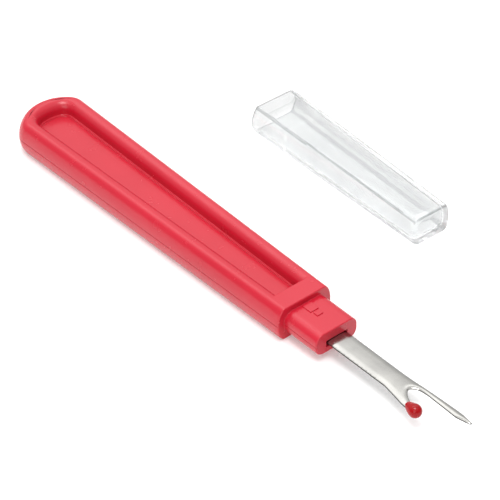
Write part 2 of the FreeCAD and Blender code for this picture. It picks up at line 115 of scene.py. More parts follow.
def tidy_mesh(piece, merge=0.002):
    """Merge points that meet and turn every face outwards."""
    bm = bmesh.new()
    bm.from_mesh(piece.data)
    bmesh.ops.remove_doubles(bm, verts=bm.verts, dist=merge * MM)
    bmesh.ops.recalc_face_normals(bm, faces=bm.faces)
    bm.to_mesh(piece.data)
    bm.free()


def apply_modifiers(piece):
    """Put the result of a piece's modifiers into its mesh."""
    graph = bpy.context.evaluated_depsgraph_get()
    result = bpy.data.meshes.new_from_object(piece.evaluated_get(graph))
    piece.modifiers.clear()
    old = piece.data
    piece.data = result
    bpy.data.meshes.remove(old)


def combine(piece, other, operation):
    """Join another closed mesh to a piece, or take it away, and drop the other object."""
    modifier = piece.modifiers.new(operation.lower(), "BOOLEAN")
    modifier.operation = operation
    modifier.solver = "EXACT"
    modifier.object = other
    apply_modifiers(piece)
    bpy.data.objects.remove(other)


def shade(piece, angle=40.0):
    """Smooth shading that keeps creases and keeps flat faces flat."""
    for polygon in piece.data.polygons:
        polygon.use_smooth = True
    piece.data.set_sharp_from_angle(angle=math.radians(angle))
    weighted = piece.modifiers.new("flat_faces", "WEIGHTED_NORMAL")
    weighted.keep_sharp = True
    weighted.weight = 90
    apply_modifiers(piece)


def arc_points(centre, radius, start, stop, steps, first=True):
    """Points of an arc in a plane, from one angle to another."""
    begin = 0 if first else 1
    points = []
    for step in range(begin, steps + 1):
        angle = start + (stop - start) * step / steps
        points.append((centre[0] + radius * math.cos(angle), centre[1] + radius * math.sin(angle)))
    return points


def rounded_box(name, low, high, radius, steps=3):
    """A box with rounded edges, for a pad or a slot."""
    bm = bmesh.new()
    bmesh.ops.create_cube(bm, size=1.0)
    centre = [(a + b) / 2 for a, b in zip(low, high)]
    size = [b - a for a, b in zip(low, high)]
    for vertex in bm.verts:
        vertex.co = Vector([(c + s * v) * MM for c, s, v in zip(centre, size, vertex.co)])
    bmesh.ops.bevel(bm, geom=bm.edges[:], offset=radius * MM, segments=steps, affect="EDGES", profile=0.5)
    mesh = bpy.data.meshes.new(name)
    bm.to_mesh(mesh)
    bm.free()
    box = bpy.data.objects.new(name, mesh)
    bpy.context.scene.collection.objects.link(box)
    return box


# ---------------------------------------------------------------- handle

# Steps along each stretch of one half of the grip's outline, and up its section.
GRIP_FRONT_STEPS = 16
GRIP_FRONT_CORNER_STEPS = 4
GRIP_SIDE_STEPS = 44
GRIP_CORNER_STEPS = 12
GRIP_END_STEPS = 12
SIDE_STEPS = 30
RIM_STEPS = 18
# The recess floor closes towards a line between these two places, in steps of this share.
FLOOR_LINE_REAR = REAR + 11.0
FLOOR_LINE_FRONT = FRONT - 9.0
FLOOR_SHARES = (0.75, 0.5, 0.25, 0.0)


def grip_ring(front, half_width, rear, corner_radius, end_radius, front_round, height):
    """One closed outline of the grip: straight front, tapering sides and a rounded rear end.

    half_width is measured at the shoulder, wherever this ring's own front edge lies.
    """
    stretch = math.hypot(1.0, SIDE_SLOPE)
    end_x = rear + end_radius
    gap = end_radius - corner_radius
    level = half_width + SIDE_SLOPE * FRONT - corner_radius * stretch
    a = 1.0 + SIDE_SLOPE ** 2
    b = -2.0 * (end_x + level * SIDE_SLOPE)
    c = end_x ** 2 + level ** 2 - gap ** 2
    corner_x = (-b - math.sqrt(b * b - 4.0 * a * c)) / (2.0 * a)
    corner_y = level - SIDE_SLOPE * corner_x
    side_angle = math.pi / 2 - math.atan(SIDE_SLOPE)
    meet_angle = math.atan2(corner_y, corner_x - end_x)

    front_y = half_width + SIDE_SLOPE * (FRONT - front)
    half = [(front, front_y * step / GRIP_FRONT_STEPS) for step in range(GRIP_FRONT_STEPS)]
    half = [(x, min(y, front_y - front_round)) for x, y in half]
    half += arc_points((front - front_round, front_y - front_round), front_round, 0.0, side_angle,
                       GRIP_FRONT_CORNER_STEPS)
    start = Vector(half[-1])
    stop = Vector((corner_x + corner_radius * math.cos(side_angle),
                   corner_y + corner_radius * math.sin(side_angle)))
    for step in range(1, GRIP_SIDE_STEPS):
        half.append(tuple(start.lerp(stop, step / GRIP_SIDE_STEPS)))
    half += arc_points((corner_x, corner_y), corner_radius, side_angle, meet_angle, GRIP_CORNER_STEPS)
    half += arc_points((end_x, 0.0), end_radius, meet_angle, math.pi, GRIP_END_STEPS, first=False)
    mirrored = [(x, -y) for x, y in reversed(half[1:-1])]
    return [(x, y, height) for x, y in half + mirrored]


def outer_ring(inset, height):
    """A ring of the outside, inset from the parting line; its front edge lies in the shoulder."""
    top = HALF_THICKNESS
    over = abs(height) - (top - SHOULDER_RADIUS)
    back = SHOULDER_RADIUS - math.sqrt(SHOULDER_RADIUS ** 2 - over ** 2) if over > 0 else 0.0
    return grip_ring(FRONT - back, FRONT_HALF_WIDTH - inset, REAR + inset, REAR_CORNER_RADIUS - inset,
                     REAR_END_RADIUS - inset, SHOULDER_RADIUS, height)


def recess_ring(outset, height):
    """A ring of the recess, outset from its wall; its front edge is nearly sharp."""
    drop = HALF_THICKNESS - abs(height)
    edge = RECESS_FRONT_EDGE
    ahead = edge - math.sqrt(edge ** 2 - (edge - drop) ** 2) if drop < edge else 0.0
    front = FRONT - LAND_LENGTH + (ahead if outset >= 0 else outset)
    return grip_ring(front, FRONT_HALF_WIDTH - RIM_WIDTH + outset, REAR + RIM_END_WIDTH - outset,
                     RECESS_CORNER_RADIUS + outset, RECESS_END_RADIUS + outset, RECESS_FRONT_CORNER,
                     height)


def floor_rings(rim):
    """Rings that close the recess floor, from its rim in to a line along its middle."""
    rings = []
    for share in FLOOR_SHARES:
        ring = []
        for x, y, z in rim:
            middle = min(max(x, FLOOR_LINE_REAR), FLOOR_LINE_FRONT)
            ring.append((middle * (1 - share) + x * share, y * share, z))
        rings.append(ring)
    return rings


def grip_rings():
    """Rings of the upper half, from the parting line up over the rim and down to the recess floor."""
    top = HALF_THICKNESS
    right = math.pi / 2
    rings = [outer_ring(PARTING_GROOVE, 0.0),
             outer_ring(PARTING_GROOVE, GROOVE_FLOOR),
             outer_ring(GROOVE_LIP_INSET, GROOVE_LIP)]
    for step in range(2, SIDE_STEPS + 1):
        turn = right * step / SIDE_STEPS
        rings.append(outer_ring(SIDE_BULGE * (1 - math.cos(turn)), top * math.sin(turn)))
    for back, up in arc_points((0.0, top - RIM_RADIUS), RIM_RADIUS, right, 0.0, RIM_STEPS):
        rings.append(recess_ring(RIM_RADIUS - back, up))
    ledge = top - RECESS_DEPTH
    foot = (-WALL_FOOT_RADIUS, ledge + WALL_FOOT_RADIUS)
    ledge_edge = (-LEDGE_WIDTH + LEDGE_RADIUS, ledge - LEDGE_RADIUS)
    floor_edge = (-LEDGE_WIDTH - LEDGE_RADIUS, ledge - FLOOR_STEP + LEDGE_RADIUS)
    for out, up in (arc_points(foot, WALL_FOOT_RADIUS, 0.0, -right, 3)
                    + arc_points(ledge_edge, LEDGE_RADIUS, right, math.pi, 3)
                    + arc_points(floor_edge, LEDGE_RADIUS, 0.0, -right, 3)):
        rings.append(recess_ring(out, up))
    return rings + floor_rings(rings[-1])


def make_grip():
    """The grip as one closed skin over both mould halves."""
    upper = grip_rings()
    lower = [[(x, y, -z) for x, y, z in ring] for ring in upper[1:]]
    vertices, faces = skin(list(reversed(upper)) + lower)
    grip = new_object("handle_body", vertices, faces)
    tidy_mesh(grip)
    return grip


NECK_HALF_WIDTH = 5.68
NECK_HALF_HEIGHT = 2.7
NECK_CORNER = 2.2
NECK_EDGE = 0.28
NECK_ROOT = 0.1
NECK_INSIDE_GRIP = 2.0
# The groove's section on the neck: the share of its depth, and the height.
NECK_GROOVE = ((1.0, 0.0), (0.6, 0.03), (0.0, 0.09))
# The two low pads: distance from the shoulder, length and half width.
PADS = ((0.3, 2.8, 1.15), (3.5, 1.35, 0.8))
PAD_RISE = 0.2
PAD_ROOT = 0.5
PAD_EDGE = 0.07
# The slot in the neck's front face that the blade leaves by.
SLOT_LOW = (NECK_FACE - 2.5, -2.9, -1.25)
SLOT_HIGH = (NECK_FACE + 1.0, 3.0, 0.45)
SLOT_EDGE = 0.15


def neck_ring(x, shrink):
    """The neck's section at one place along X, with the parting line's groove at mid height."""
    half_width = NECK_HALF_WIDTH - shrink
    half_height = NECK_HALF_HEIGHT - shrink
    radius = max(NECK_CORNER - shrink, 0.3)
    quarter = arc_points((half_width - radius, half_height - radius), radius, 0.0, math.pi / 2, 10)
    groove = [(half_width - PARTING_GROOVE * share, height) for share, height in NECK_GROOVE]
    flat = [((half_width - radius) * (1 - step / 8), half_height) for step in range(1, 9)]
    right = groove + quarter + flat
    left = [(-y, z) for y, z in reversed(right[:-1])]
    upper = right + left
    lower = [(y, -z) for y, z in reversed(upper[1:-1])]
    return [(x, y, z) for y, z in upper + lower]


def make_neck():
    """The plug in front of the shoulder, with a small root fillet and a rounded front edge."""
    rings = [neck_ring(FRONT - NECK_INSIDE_GRIP, 0.0)]
    for along, out in arc_points((FRONT + NECK_ROOT, 0.0), NECK_ROOT, math.pi, math.pi * 1.5, 6):
        rings.append(neck_ring(along, -(NECK_ROOT + out)))
    for along, out in arc_points((NECK_FACE - NECK_EDGE, 0.0), NECK_EDGE, math.pi / 2, 0.0, 6):
        rings.append(neck_ring(along, NECK_EDGE - out))
    vertices, faces = skin(rings, close_start=True, close_end=True)
    neck = new_object("neck", vertices, faces)
    tidy_mesh(neck)
    return neck


def make_handle():
    """Grip and neck as one moulding, with two low pads on the neck and the slot in its face."""
    handle = make_grip()
    combine(handle, make_neck(), "UNION")
    for start, length, half in PADS:
        low = (FRONT + start, -half, NECK_HALF_HEIGHT - PAD_ROOT)
        high = (FRONT + start + length, half, NECK_HALF_HEIGHT + PAD_RISE)
        combine(handle, rounded_box("pad", low, high, PAD_EDGE), "UNION")
    combine(handle, rounded_box("slot", SLOT_LOW, SLOT_HIGH, SLOT_EDGE), "DIFFERENCE")
    handle.data.transform(Matrix.Translation((0, 0, HALF_THICKNESS * MM)))
    shade(handle)
    return handle


# ---------------------------------------------------------------- blade

# Places on the blade are measured from the neck's front face, along X and across.
HALF_BLADE = 2.66
GAUGE = 0.4
CROWN_DROP = 0.1
# How far the sheet falls: over its arch, within a band of every edge, and in the roll of the cut.
ARCH_DROP = 0.08
EDGE_BAND = 1.25
EDGE_DROP = 0.15
ROLL_BAND = 0.13
ROLL_DROP = 0.06
UNDERSIDE_ROLL = 0.5
# The tang's end, where the fork begins, and the stretches of the outline clockwise from there.
TANG_END = -2.4
FORK_ROOT = 17.5
TIP = (37.0, 2.95)
NOTCH = (33.6, 1.72)
FAR_EDGE = ((FORK_ROOT, HALF_BLADE), (20.5, 2.78), (24.7, 3.06), (31.0, 3.3), (34.0, 3.32), TIP)
TIP_EDGE = (TIP, (36.9, 2.6), (36.2, 2.3), NOTCH)
INNER_EDGE = (NOTCH, (29.0, 1.87), (25.0, 1.95), (22.7, 1.55), (21.5, 0.3), (22.4, -0.95),
              (24.2, -2.05))
SHORT_END = ((24.2, -2.05), (26.0, -2.6), (27.4, -2.85), (27.3, -3.4))
NEAR_EDGE = ((27.3, -3.4), (24.4, -3.78), (21.2, -3.28), (FORK_ROOT, -HALF_BLADE))
STRAIGHT_STEPS = 60
CURVE_STEPS = 14
# The grid of points over the sheet, and how far it and the row inside the outline keep clear.
GRID = 0.22
GRID_START = -4.4
GRID_WIDTH = 8.0
GRID_CLEARANCE = 1.8 * ROLL_BAND
ROW_CLEARANCE = 0.9 * ROLL_BAND
# The ground bevels: depth, width, and the places between which each one comes in.
CROTCH_BEVEL = 0.06
CROTCH_BEVEL_WIDTH = 0.5
CROTCH_BEVEL_FADE = (26.0, 22.5)
TIP_BEVEL = 0.08
TIP_BEVEL_WIDTH = 0.6
TIP_BEVEL_FADE = (33.0, 36.0)
# Faces steeper than this are sheared and get the dark steel, partly painted shade, but for the bright
# ones that line the crotch.
SHEARED_TILT = 0.35
CROTCH_START = 20.0
CROTCH_END = 22.8
CROTCH_HALF_WIDTH = 2.1


def smooth_line(points, steps):
    """Points along a Catmull-Rom curve through the given ones, without the last point."""
    points = [Vector(p) for p in points]
    padded = [points[0] * 2 - points[1]] + points + [points[-1] * 2 - points[-2]]
    line = []
    for index in range(1, len(padded) - 2):
        before, start, stop, after = padded[index - 1:index + 3]
        for step in range(steps):
            u = step / steps
            line.append(0.5 * ((2 * start) + (stop - before) * u
                               + (2 * before - 5 * start + 4 * stop - after) * u ** 2
                               + (3 * start - before - 3 * stop + after) * u ** 3))
    return line


def distance_to(point, line):
    """Shortest distance from a point to a run of points."""
    best = 1e9
    for start, stop in zip(line, line[1:]):
        run = stop - start
        share = max(0.0, min(1.0, (point - start).dot(run) / max(run.length_squared, 1e-12)))
        best = min(best, (point - start - run * share).length)
    return best


def fade(value, nought, one):
    """Nought to one between two values, with a smooth start and stop."""
    share = max(0.0, min(1.0, (value - nought) / (one - nought)))
    return share * share * (3.0 - 2.0 * share)


def blade_crown(across, from_edge):
    """Height of the sheet's middle surface: gently arched, and rolled down along every edge."""
    arch = ARCH_DROP * (across / HALF_BLADE) ** 2
    edge = EDGE_DROP * max(0.0, 1.0 - from_edge / EDGE_BAND) ** 2
    return -CROWN_DROP + GAUGE / 2 - arch - edge


def blade_outline():
    """The stamping's outline, clockwise from the tang's far corner."""
    run = FORK_ROOT - TANG_END
    outline = [Vector((TANG_END + run * step / STRAIGHT_STEPS, HALF_BLADE))
               for step in range(STRAIGHT_STEPS)]
    for edge in (FAR_EDGE, TIP_EDGE, INNER_EDGE, SHORT_END, NEAR_EDGE):
        outline += smooth_line(edge, CURVE_STEPS)
    outline += [Vector((FORK_ROOT - run * step / STRAIGHT_STEPS, -HALF_BLADE))
                for step in range(STRAIGHT_STEPS + 1)]
    return outline


def blade_points(outline):
    """The outline, a row of points just inside it, and a staggered grid over the rest."""
    closed = outline + outline[:1]
    points = list(outline)
    for before, here, after in zip(outline[-1:] + outline, outline, closed[1:]):
        run = (after - before).normalized()
        spot = here + Vector((run.y, -run.x)) * ROLL_BAND
        if distance_to(spot, closed) > ROW_CLEARANCE:
            points.append(spot)
    for column in range(int((TIP[0] - TANG_END) / GRID)):
        stagger = 0.5 * (column % 2)
        for row in range(int(GRID_WIDTH / GRID)):
            across = GRID_START + (row + 0.5 + stagger) * GRID
            spot = Vector((TANG_END + (column + 0.5) * GRID, across))
            if distance_to(spot, closed) > GRID_CLEARANCE:
                points.append(spot)
    return points


def ground_depth(spot, crotch, tip):
    """How far grinding lowers the top face, by the crotch or on the tip."""
    by_crotch = max(0.0, 1.0 - distance_to(spot, crotch) / CROTCH_BEVEL_WIDTH)
    by_tip = max(0.0, 1.0 - distance_to(spot, tip) / TIP_BEVEL_WIDTH)
    return max(CROTCH_BEVEL * by_crotch * fade(spot.x, *CROTCH_BEVEL_FADE),
               TIP_BEVEL * by_tip * fade(spot.x, *TIP_BEVEL_FADE))


def sheet_faces(triangles, number):
    """Faces of a sheet: its top, its underside and the wall along every open side."""
    faces = [tuple(triangle) for triangle in triangles]
    faces += [tuple(number + corner for corner in reversed(triangle)) for triangle in triangles]
    sides = []
    for triangle in triangles:
        sides += zip(triangle, triangle[1:] + triangle[:1])
    known = set(sides)
    for a, b in sides:
        if (b, a) not in known:
            faces.append((b, a, a + number, b + number))
    return faces


def mark_sheared_faces(blade):
    """Give the steep faces the second, darker material, partly painted shade, except where they line the
    crotch.
    """
    for polygon in blade.data.polygons:
        along = polygon.center.x / MM - NECK_FACE
        across = polygon.center.y / MM
        in_crotch = CROTCH_START < along < CROTCH_END and abs(across) < CROTCH_HALF_WIDTH
        sheared = abs(polygon.normal.z) < SHEARED_TILT and not in_crotch
        polygon.material_index = 1 if sheared else 0


def make_blade():
    """The stamping: an arched sheet with its fork, ground to an edge in the crotch and on the tip."""
    outline = blade_outline()
    closed = outline + outline[:1]
    count = len(outline)
    borders = [(step, (step + 1) % count) for step in range(count)]
    spots, _, triangles, _, _, _ = delaunay_2d_cdt(blade_points(outline), borders, [], 1, 1e-5)
    crotch = smooth_line(INNER_EDGE[2:], 10)
    tip = smooth_line(TIP_EDGE, 10)
    top = []
    bottom = []
    for spot in spots:
        from_edge = distance_to(spot, closed)
        middle = blade_crown(spot.y, from_edge)
        roll = ROLL_DROP * max(0.0, 1.0 - from_edge / ROLL_BAND)
        x = NECK_FACE + spot.x
        top.append((x, spot.y, middle + GAUGE / 2 - roll - ground_depth(spot, crotch, tip)))
        bottom.append((x, spot.y, middle - GAUGE / 2 + roll * UNDERSIDE_ROLL))
    blade = new_object("blade_sheet", top + bottom, sheet_faces(triangles, len(spots)))
    tidy_mesh(blade)
    blade.data.transform(Matrix.Translation((0, 0, HALF_THICKNESS * MM)))
    shade(blade, angle=35.0)
    mark_sheared_faces(blade)
    return blade


# ---------------------------------------------------------------- bead

BEAD_RADIUS = 1.5
BEAD_TAIL = 2.35
BEAD_TAIL_RADIUS = 0.88
BEAD_TAIL_FLARE = 1.5
BEAD_TAIL_EDGE = 0.25
BEAD_REACH = 26.82
BEAD_OFFSET = 3.04
BEAD_DROP = 0.25
BEAD_ANGLE = 6.5
# The tail is flattened by this much, from one place behind the ball over a length.
FLATTENING = 0.3
FLAT_START = 0.5
FLAT_LENGTH = 2.2
# The dipped surface wanders by this much, in waves of this scale. Blender's vector noise starts
# from the clock unless it is given a seed.
DIP_SEED = 5
DIP_WAVES = 0.6
DIP_HEIGHT = 0.025
BEAD_SIDES = 40
BALL_STEPS = 22
BALL_STEP_ANGLE = 4.5
TAIL_STEPS = 16


def bead_profile():
    """Places along the bead's axis with the radius there, from the ball's tip to the tail's end."""
    turns = [math.radians(BALL_STEP_ANGLE * step) for step in range(BALL_STEPS)]
    profile = [(BEAD_RADIUS * math.cos(turn), BEAD_RADIUS * math.sin(turn)) for turn in turns]
    start_x, start_r = profile[-1]
    for step in range(1, TAIL_STEPS + 1):
        share = step / TAIL_STEPS
        out = start_r + (BEAD_TAIL_RADIUS - start_r) * share ** BEAD_TAIL_FLARE
        profile.append((start_x + (-BEAD_TAIL - start_x) * share, out))
    profile += arc_points((-BEAD_TAIL, BEAD_TAIL_RADIUS - BEAD_TAIL_EDGE), BEAD_TAIL_EDGE,
                          math.pi / 2, math.pi, 5, first=False)
    return profile


def make_bead():
    """The dipped bead: a ball drawn out into a wide, flattened tail along the short prong."""
    noise.seed_set(DIP_SEED)
    rings = []
    for along, out in bead_profile():
        ring = []
        flat = 1.0 - FLATTENING * max(0.0, min(1.0, (-along - FLAT_START) / FLAT_LENGTH))
        for side in range(BEAD_SIDES):
            angle = 2 * math.pi * side / BEAD_SIDES
            spot = Vector((along, out * math.cos(angle), out * flat * math.sin(angle)))
            spot += noise.noise_vector(spot * DIP_WAVES) * DIP_HEIGHT
            ring.append(tuple(spot))
        rings.append(ring)
    vertices, faces = skin(rings, close_end=True)
    bead = new_object("prong_bead", vertices, faces)
    tidy_mesh(bead, merge=0.03)
    middle = Vector((NECK_FACE + BEAD_REACH, -BEAD_OFFSET, HALF_THICKNESS - BEAD_DROP))
    place = Matrix.Translation(middle * MM)
    bead.data.transform(place @ Matrix.Rotation(math.radians(-BEAD_ANGLE), 4, "Z"))
    shade(bead, angle=60.0)
    return bead


# ---------------------------------------------------------------- cap

# Where the cap's mouth lies on the table, its turn, and a hair's lift off the table's plane.
CAP_X = -54.88
CAP_Y = 41.6
CAP_ANGLE = 1.45
CAP_LIFT = 0.04
CAP_LENGTH = 53.4
CAP_HALF_HEIGHT = 3.73
# Sections: half width, half height, bulge of the sides and corner radius.
CAP_MOUTH = (6.68, 3.73, 1.5, 0.55)
CAP_END = (5.2, 3.7, 0.8, 1.5)
BORE = (5.48, 2.7, 1.0, 0.5)
BORE_END = (4.35, 2.6, 0.6, 1.5)
# The socket for the plug, from the lip to the step at its end: place along X, and section.
SOCKET = (
    (0.0, (6.08, 3.13, 1.3, 0.5)),
    (0.18, (5.95, 3.0, 1.3, 0.5)),
    (2.5, (5.9, 2.97, 1.25, 0.5)),
    (4.65, (5.86, 2.95, 1.2, 0.5)),
    (4.9, (5.76, 2.89, 1.2, 0.5)),
    (7.5, (5.74, 2.88, 1.15, 0.5)),
    (10.15, (5.72, 2.87, 1.1, 0.5)),
    (10.35, (5.5, 2.72, 1.0, 0.5)),
)
BORE_START = 10.35
BORE_STOP = 50.7
BORE_ROUND = 1.5
BORE_STEPS = 50
LIP_ROUND = 0.2
END_ROUND = 0.9
WALL_STEPS = 60
LEAST_CORNER = 0.25
# The dimple that the moulding gate leaves: its place on the closed end, and depth and radius.
GATE_Y = 1.1
GATE_Z = -1.0
GATE_PROFILE = ((-0.3, 0.5), (-0.28, 0.65), (-0.18, 0.9), (-0.04, 1.08), (0.02, 1.15), (0.6, 1.2))
GATE_STEPS = 40
# Which faces get the darker edge colour, painted shade along the cap's edges. Along the cap they lie
# in a band by the turn of their normal: each limit is a value at the mouth and its growth to the
# closed end. Elsewhere they lie near an edge, with their normal's X between two limits.
NEAR_SIDE_BAND = ((0.2, 0.6), (0.8, 0.16))
FAR_SIDE_BAND = ((0.02, 0.25), (0.9, 0.0))
UPPER_EDGE_HEIGHT = 0.4 * CAP_HALF_HEIGHT
UPPER_EDGE_MOST_X = 0.6
LOWER_EDGE_BAND = (0.85, 0.4)
LOWER_EDGE_LEAST_Y = 0.25
OUTSIDE_LEAST = 0.5
END_START = CAP_LENGTH - 0.95
END_TOP_LEAST_Z = 0.45
END_TOP_X = (0.6, 0.85)
END_FAR_LEAST_Y = 0.3
END_FAR_X = (0.2, 0.95)
LIP_END = 0.25
LIP_X = (-0.98, -0.2)
DIMPLE_START = CAP_LENGTH - 0.32
DIMPLE_RING = (0.5, 1.16)
DIMPLE_X = (0.0, 0.97)


def cap_section(x, half_width, half_height, bulge, corner):
    """A flat top and bottom with two bulging sides, and its corners rounded."""
    big = (half_height ** 2 + bulge ** 2) / (2 * bulge)
    centre = half_width - big
    corner_z = half_height - corner
    corner_y = centre + math.sqrt((big - corner) ** 2 - corner_z ** 2)
    meet = math.atan2(corner_z, corner_y - centre)
    side = arc_points((centre, 0.0), big, 0.0, meet, 10)
    side += arc_points((corner_y, corner_z), corner, meet, math.pi / 2, 8, first=False)
    flat = [(corner_y * (1 - step / 8), half_height) for step in range(1, 9)]
    right = side + flat
    upper = right + [(-y, z) for y, z in reversed(right[:-1])]
    lower = [(y, -z) for y, z in reversed(upper[1:-1])]
    return [(x, y, z) for y, z in upper + lower]


def blend_between(start, stop, share):
    """Values part way from one tuple to another."""
    return [a + (b - a) * share for a, b in zip(start, stop)]


def make_gate():
    """A plug with the shape of the shallow round dimple in the closed end."""
    rings = []
    for along, radius in GATE_PROFILE:
        circle = arc_points((GATE_Y, GATE_Z), radius, 0.0, 2 * math.pi, GATE_STEPS, first=False)
        rings.append([(CAP_LENGTH + along, y, z) for y, z in circle])
    vertices, faces = skin(rings, close_start=True, close_end=True)
    gate = new_object("gate", vertices, faces)
    tidy_mesh(gate)
    return gate


def between(value, limits):
    """Whether a value lies between two limits."""
    return limits[0] < value < limits[1]


def on_long_edge(centre, normal):
    """Whether a face is on the rounded edges along the outside of the cap."""
    along = centre.x / CAP_LENGTH
    turn = normal.y / max(math.hypot(normal.y, normal.z), 0.01)
    band = NEAR_SIDE_BAND if turn < 0 else FAR_SIDE_BAND
    limits = [start + growth * along for start, growth in band]
    upper = (between(abs(turn), limits) and centre.z > UPPER_EDGE_HEIGHT
             and normal.x < UPPER_EDGE_MOST_X)
    start, growth = LOWER_EDGE_BAND
    lower = (centre.z < start + growth * along - CAP_HALF_HEIGHT
             and abs(normal.y) > LOWER_EDGE_LEAST_Y)
    outside = centre.y * normal.y > OUTSIDE_LEAST
    return outside and (upper or lower)


def on_end_edge(centre, normal):
    """Whether a face is on the closed end's upper or far edge, or on the lip of the mouth."""
    at_end = centre.x > END_START
    top = at_end and normal.z > END_TOP_LEAST_Z and between(normal.x, END_TOP_X)
    far = at_end and normal.y > END_FAR_LEAST_Y and between(normal.x, END_FAR_X)
    lip = centre.x < LIP_END and between(normal.x, LIP_X)
    return top or far or lip


def on_dimple_wall(centre, normal):
    """Whether a face is on the slope round the dimple."""
    from_gate = math.hypot(centre.y - GATE_Y, centre.z - GATE_Z)
    return centre.x > DIMPLE_START and between(from_gate, DIMPLE_RING) and between(normal.x, DIMPLE_X)


def mark_painted_edge_shade(cap):
    """Give the second, darker material to the rounded edges and the dimple's slope, as painted shade."""
    for polygon in cap.data.polygons:
        centre = polygon.center / MM
        normal = polygon.normal
        shaded_edge = (on_long_edge(centre, normal) or on_end_edge(centre, normal)
                 or on_dimple_wall(centre, normal))
        polygon.material_index = 1 if shaded_edge else 0


def cap_outside():
    """Rings of the cap's outside, from the closed end back to the lip."""
    rings = []

    def add_ring(x, inset=0.0):
        half_width, half_height, bulge, corner = blend_between(CAP_MOUTH, CAP_END, x / CAP_LENGTH)
        rings.append(cap_section(x, half_width - inset, half_height - inset, bulge,
                                 max(corner - inset, LEAST_CORNER)))

    wall = CAP_LENGTH - END_ROUND
    for along, out in arc_points((wall, 0.0), END_ROUND, 0.0, math.pi / 2, 6):
        add_ring(along, END_ROUND - out)
    for step in range(WALL_STEPS - 1, 0, -1):
        add_ring(wall * step / WALL_STEPS)
    for along, out in arc_points((LIP_ROUND, 0.0), LIP_ROUND, math.pi / 2, math.pi, 4):
        add_ring(along, LIP_ROUND - out)
    return rings


def cap_inside():
    """Rings of the cavity, from the mouth through the socket and the bore to its rounded end."""
    rings = [cap_section(x, *values) for x, values in SOCKET]
    for step in range(1, BORE_STEPS + 1):
        share = step / BORE_STEPS
        x = BORE_START + (BORE_STOP - BORE_START) * share
        rings.append(cap_section(x, *blend_between(BORE, BORE_END, share)))
    half_width, half_height, bulge, corner = BORE_END
    turns = arc_points((BORE_STOP, 0.0), BORE_ROUND, math.pi / 2, 0.0, 8, first=False)
    for along, out in turns:
        rings.append(cap_section(along, half_width - BORE_ROUND + out, half_height - BORE_ROUND + out,
                                 bulge, max(corner - BORE_ROUND + out, LEAST_CORNER)))
    return rings


def make_cap():
    """The clear cap as one closed shell: outside, lip, stepped cavity and closed end."""
    vertices, faces = skin(cap_outside() + cap_inside(), close_start=True, close_end=True)
    cap = new_object("clear_cap", vertices, faces)
    tidy_mesh(cap)
    combine(cap, make_gate(), "DIFFERENCE")
    shade(cap, angle=50.0)
    mark_painted_edge_shade(cap)
    place = Matrix.Translation(Vector((CAP_X, CAP_Y, CAP_HALF_HEIGHT + CAP_LIFT)) * MM)
    cap.data.transform(place @ Matrix.Rotation(math.radians(-CAP_ANGLE), 4, "Z"))
    return cap


# ---------------------------------------------------------------- materials

# Each material drifts between two colours.
HANDLE_RED = ((0.50, 0.009, 0.026), (0.54, 0.012, 0.031))
BRIGHT_STEEL = ((0.35, 0.345, 0.33), (0.41, 0.405, 0.385))
# The sheared edges' steel is dark partly from its dull finish and partly as painted shade.
DARK_STEEL_AND_SHADE = ((0.025, 0.023, 0.021), (0.07, 0.066, 0.062))
BEAD_RED = ((0.30, 0.0, 0.002), (0.36, 0.001, 0.004))
CLEAR_WALL = ((0.71, 0.719, 0.722), (0.76, 0.768, 0.77))
# The cap's edge colour is painted shade: the dark lines along its rounded edges.
CLEAR_EDGE_SHADE = ((0.23, 0.246, 0.246), (0.29, 0.304, 0.304))
# Painted shade on the upper wall by the mouth: its share of the wall's colour, and where it ends along X
# and up Z.
MOUTH_SHADE = 0.8
MOUTH_SHADE_ENDS = (3.5, 7.5)
MOUTH_SHADE_RISES = (3.0, 4.5)
TABLE_GREY = (0.80, 0.80, 0.80, 1.0)
TABLE_GLOW = 0.22


def new_material(name):
    """A material with an empty Principled shader, its node tree and that shader."""
    material = bpy.data.materials.new(name)
    material.use_nodes = True
    nodes = material.node_tree
    return material, nodes, nodes.nodes["Principled BSDF"]


def add_node(tree, kind, **values):
    """A node with some of its inputs set by name."""
    node = tree.nodes.new(kind)
    for key, value in values.items():
        node.inputs[key.replace("_", " ")].default_value = value
    return node


def object_noise(tree, scale, detail, stretch=(1.0, 1.0, 1.0)):
    """Noise in the piece's own space, stretched along its axes."""
    place = tree.nodes.new("ShaderNodeTexCoord")
    mapping = tree.nodes.new("ShaderNodeMapping")
    mapping.inputs["Scale"].default_value = stretch
    tree.links.new(place.outputs["Object"], mapping.inputs["Vector"])
    pattern = add_node(tree, "ShaderNodeTexNoise", Scale=scale, Detail=detail)
    tree.links.new(mapping.outputs["Vector"], pattern.inputs["Vector"])
    return pattern.outputs["Fac"]


def remap(tree, value, low, high, start=0.3, stop=0.7):
    """Spread a value between two numbers."""
    node = tree.nodes.new("ShaderNodeMapRange")
    node.inputs["From Min"].default_value = start
    node.inputs["From Max"].default_value = stop
    node.inputs["To Min"].default_value = low
    node.inputs["To Max"].default_value = high
    tree.links.new(value, node.inputs["Value"])
    return node.outputs["Result"]


def drifting_colour(tree, pattern, colours):
    """A colour that drifts between two others with a noise pattern."""
    ramp = tree.nodes.new("ShaderNodeValToRGB")
    for stop, colour in zip(ramp.color_ramp.elements, colours):
        stop.color = (*colour, 1.0)
    tree.links.new(remap(tree, pattern, 0.0, 1.0), ramp.inputs["Fac"])
    return ramp.outputs["Color"]


def multiply(tree, colour, factor):
    """A colour darkened by a grey factor."""
    mix = tree.nodes.new("ShaderNodeMix")
    mix.data_type = "RGBA"
    mix.blend_type = "MULTIPLY"
    mix.inputs[0].default_value = 1.0
    tree.links.new(colour, mix.inputs[6])
    tree.links.new(factor, mix.inputs[7])
    return mix.outputs[2]


